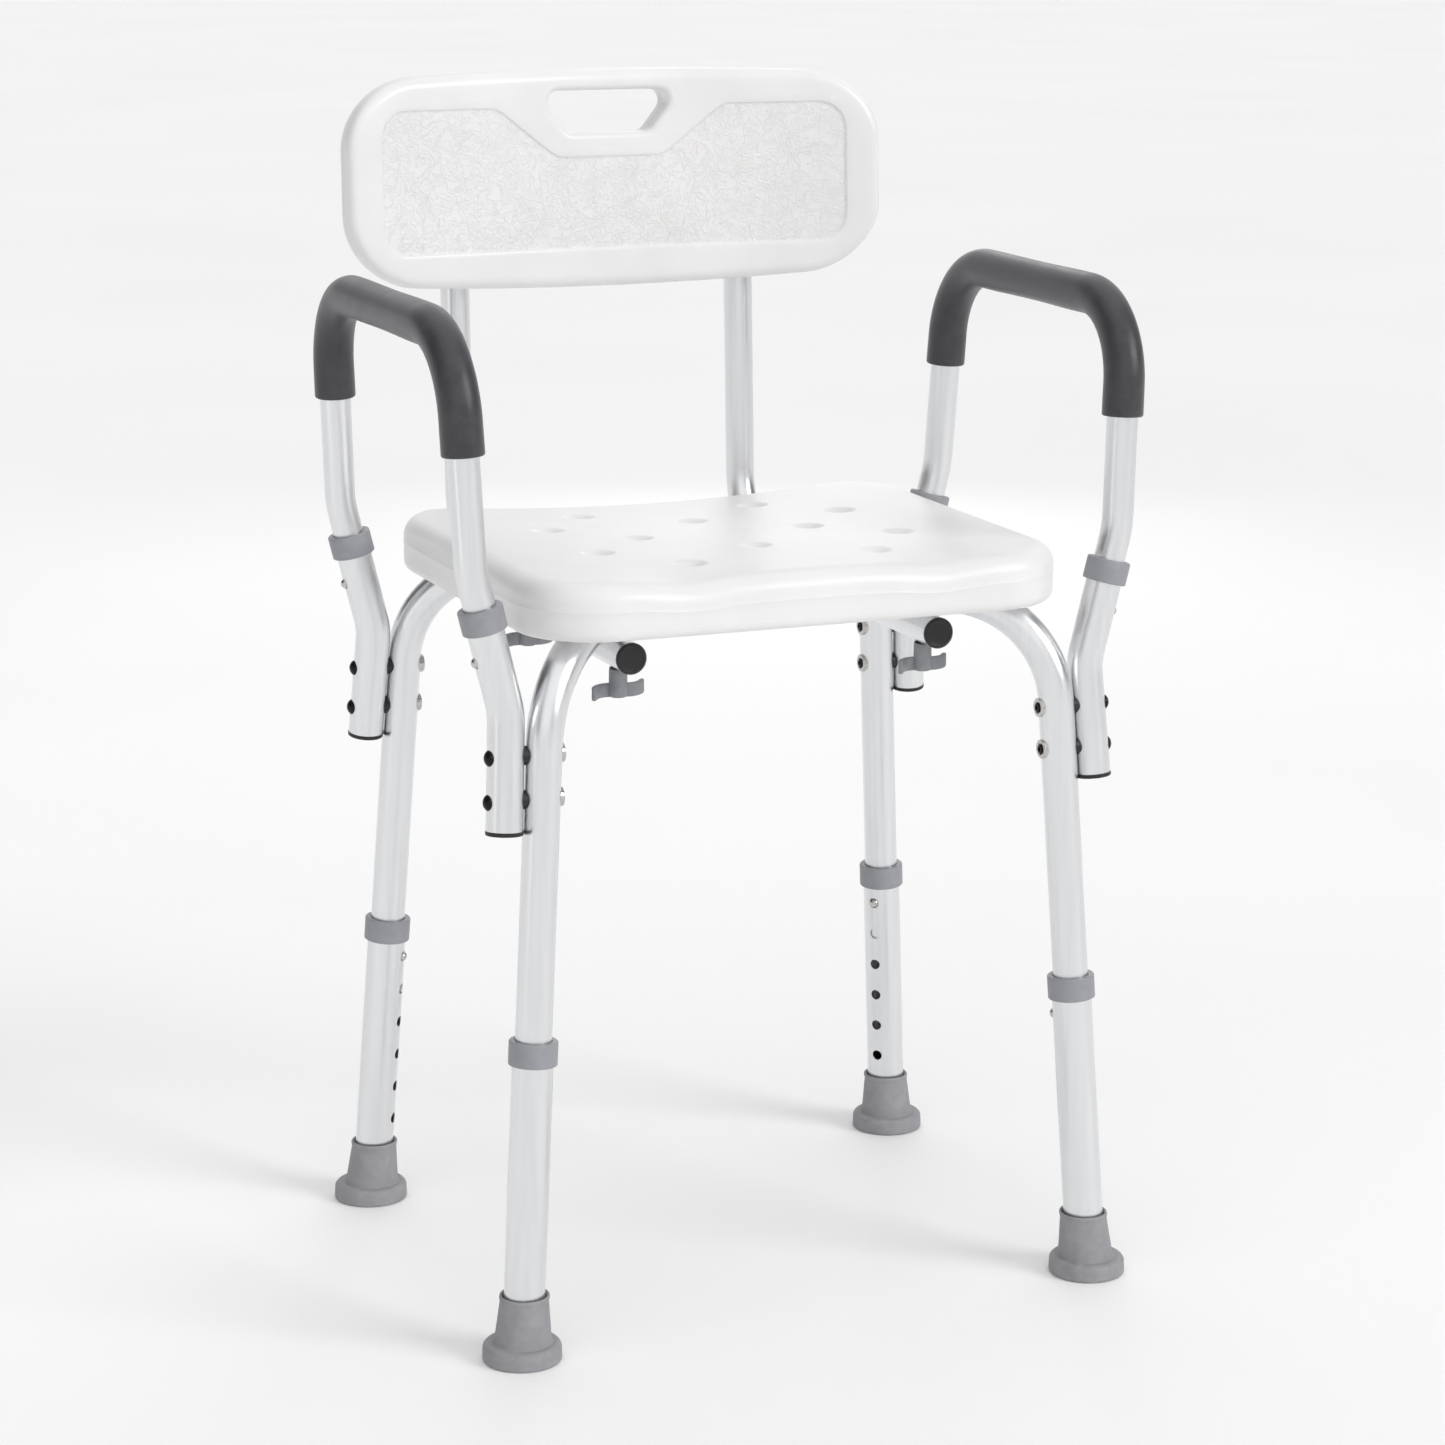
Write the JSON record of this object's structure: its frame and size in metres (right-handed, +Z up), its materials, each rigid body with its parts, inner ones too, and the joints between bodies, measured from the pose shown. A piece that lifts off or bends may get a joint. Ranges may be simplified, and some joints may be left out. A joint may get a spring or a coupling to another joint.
{
  "type": "shower chair",
  "caption": "Height-adjustable shower chair with crossed aluminium arches, a moulded seat and back, lift-off armrests with foam grips, and rubber feet.",
  "frame": {"origin": "floor level, at the middle of the whole chair's width and depth", "axes": "+Z up, -Y is the front of the chair, +X is to the right of someone who faces the chair"},
  "size_m": [0.5296, 0.4701, 0.8538],
  "materials": {
    "aluminium_tube": "satin anodised",
    "black_plastic": "moulded, matt",
    "black_steel": "black oxide",
    "bright_steel": "bright",
    "grey_plastic": "moulded, matt",
    "grey_rubber": "moulded, matt",
    "grip_foam": "closed-cell foam, matt",
    "insert_brass": "turned",
    "white_plastic": "blow-moulded polyethylene, soft gloss"
  },
  "bodies": {
    "frame": {"arch_upper": "aluminium_tube", "arch_lower": "aluminium_tube", "centre_rivet": "bright_steel", "seat": "white_plastic", "seat_inserts": "insert_brass", "back_panel": "white_plastic", "back_screws": "bright_steel", "back_tube_caps": "black_plastic", "arm_collars": "grey_plastic", "arm_socket_plugs": "black_plastic", "arm_bolts": "black_steel", "sleeve_nuts": "black_steel", "saddle_washers": "bright_steel", "saddle_spacers": "black_plastic", "knob_washers": "black_plastic", "back_tube_left": "aluminium_tube", "back_tube_right": "aluminium_tube", "arm_socket_front_left": "aluminium_tube", "arm_socket_front_right": "aluminium_tube", "arm_socket_rear_left": "aluminium_tube", "arm_socket_rear_right": "aluminium_tube"},
    "leg_front_left": {"leg_tube_front_left": "aluminium_tube", "leg_collar_front_left": "grey_plastic", "rubber_foot_front_left": "grey_rubber", "foot_washer_front_left": "bright_steel"},
    "leg_button_front_left": {"leg_clip_front_left": "bright_steel"},
    "leg_front_right": {"leg_tube_front_right": "aluminium_tube", "leg_collar_front_right": "grey_plastic", "rubber_foot_front_right": "grey_rubber", "foot_washer_front_right": "bright_steel"},
    "leg_button_front_right": {"leg_clip_front_right": "bright_steel"},
    "leg_rear_left": {"leg_tube_rear_left": "aluminium_tube", "leg_collar_rear_left": "grey_plastic", "rubber_foot_rear_left": "grey_rubber", "foot_washer_rear_left": "bright_steel"},
    "leg_button_rear_left": {"leg_clip_rear_left": "bright_steel"},
    "leg_rear_right": {"leg_tube_rear_right": "aluminium_tube", "leg_collar_rear_right": "grey_plastic", "rubber_foot_rear_right": "grey_rubber", "foot_washer_rear_right": "bright_steel"},
    "leg_button_rear_right": {"leg_clip_rear_right": "bright_steel"},
    "armrest_left": {"arm_hoop_left": "aluminium_tube", "foam_grip_left": "grip_foam"},
    "armrest_right": {"arm_hoop_right": "aluminium_tube", "foam_grip_right": "grip_foam"},
    "arm_button_front_left": {"arm_clip_front_left": "bright_steel"},
    "knob_front_left": {"wing_knob_front_left": "grey_plastic", "knob_stud_front_left": "bright_steel"},
    "arm_button_front_right": {"arm_clip_front_right": "bright_steel"},
    "knob_front_right": {"wing_knob_front_right": "grey_plastic", "knob_stud_front_right": "bright_steel"},
    "arm_button_rear_left": {"arm_clip_rear_left": "bright_steel"},
    "knob_rear_left": {"wing_knob_rear_left": "grey_plastic", "knob_stud_rear_left": "bright_steel"},
    "arm_button_rear_right": {"arm_clip_rear_right": "bright_steel"},
    "knob_rear_right": {"wing_knob_rear_right": "grey_plastic", "knob_stud_rear_right": "bright_steel"}
  },
  "joints": [
    {"name": "leg_height_front_left", "type": "slide", "parent": "frame", "child": "leg_front_left", "axis": [0.0598, 0.0469, 0.9971], "range_m": [0, 0.13]},
    {"name": "leg_button_press_front_left", "type": "slide", "parent": "frame", "child": "leg_button_front_left", "axis": [-0.7842, -0.6158, 0.076], "range_m": [0, 0.0042], "stiffness_N_per_m": 2000, "springref_m": -0.002, "deforming": ["leg_clip_front_left"]},
    {"name": "leg_height_front_right", "type": "slide", "parent": "frame", "child": "leg_front_right", "axis": [-0.0598, 0.0469, 0.9971], "range_m": [0, 0.13]},
    {"name": "leg_button_press_front_right", "type": "slide", "parent": "frame", "child": "leg_button_front_right", "axis": [0.7842, -0.6158, 0.076], "range_m": [0, 0.0042], "stiffness_N_per_m": 2000, "springref_m": -0.002, "deforming": ["leg_clip_front_right"]},
    {"name": "leg_height_rear_left", "type": "slide", "parent": "frame", "child": "leg_rear_left", "axis": [0.0598, -0.0469, 0.9971], "range_m": [0, 0.13]},
    {"name": "leg_button_press_rear_left", "type": "slide", "parent": "frame", "child": "leg_button_rear_left", "axis": [-0.7842, 0.6158, 0.076], "range_m": [0, 0.0042], "stiffness_N_per_m": 2000, "springref_m": -0.002, "deforming": ["leg_clip_rear_left"]},
    {"name": "leg_height_rear_right", "type": "slide", "parent": "frame", "child": "leg_rear_right", "axis": [-0.0598, -0.0469, 0.9971], "range_m": [0, 0.13]},
    {"name": "leg_button_press_rear_right", "type": "slide", "parent": "frame", "child": "leg_button_rear_right", "axis": [0.7842, 0.6158, 0.076], "range_m": [0, 0.0042], "stiffness_N_per_m": 2000, "springref_m": -0.002, "deforming": ["leg_clip_rear_right"]},
    {"name": "armrest_lift_left", "type": "slide", "parent": "frame", "child": "armrest_left", "axis": [-0.2425, 0, 0.9701], "range_m": [0, 0.06]},
    {"name": "armrest_lift_right", "type": "slide", "parent": "frame", "child": "armrest_right", "axis": [0.2425, 0, 0.9701], "range_m": [0, 0.06]},
    {"name": "arm_button_press_front_left", "type": "slide", "parent": "armrest_left", "child": "arm_button_front_left", "axis": [0.9701, 0, 0.2425], "range_m": [0, 0.0042], "stiffness_N_per_m": 2000, "springref_m": -0.002, "deforming": ["arm_clip_front_left"]},
    {"name": "knob_turn_front_left", "type": "hinge", "parent": "frame", "child": "knob_front_left", "pos_m": [-0.117, -0.12708, 0.45], "axis": [0, 0, 1], "continuous": true},
    {"name": "arm_button_press_front_right", "type": "slide", "parent": "armrest_right", "child": "arm_button_front_right", "axis": [-0.9701, 0, 0.2425], "range_m": [0, 0.0042], "stiffness_N_per_m": 2000, "springref_m": -0.002, "deforming": ["arm_clip_front_right"]},
    {"name": "knob_turn_front_right", "type": "hinge", "parent": "frame", "child": "knob_front_right", "pos_m": [0.117, -0.12708, 0.45], "axis": [0, 0, 1], "continuous": true},
    {"name": "arm_button_press_rear_left", "type": "slide", "parent": "armrest_left", "child": "arm_button_rear_left", "axis": [0.9701, 0, 0.2425], "range_m": [0, 0.0042], "stiffness_N_per_m": 2000, "springref_m": -0.002, "deforming": ["arm_clip_rear_left"]},
    {"name": "knob_turn_rear_left", "type": "hinge", "parent": "frame", "child": "knob_rear_left", "pos_m": [-0.117, 0.05666, 0.45], "axis": [0, 0, 1], "continuous": true},
    {"name": "arm_button_press_rear_right", "type": "slide", "parent": "armrest_right", "child": "arm_button_rear_right", "axis": [-0.9701, 0, 0.2425], "range_m": [0, 0.0042], "stiffness_N_per_m": 2000, "springref_m": -0.002, "deforming": ["arm_clip_rear_right"]},
    {"name": "knob_turn_rear_right", "type": "hinge", "parent": "frame", "child": "knob_rear_right", "pos_m": [0.117, 0.05666, 0.45], "axis": [0, 0, 1], "continuous": true}
  ]
}
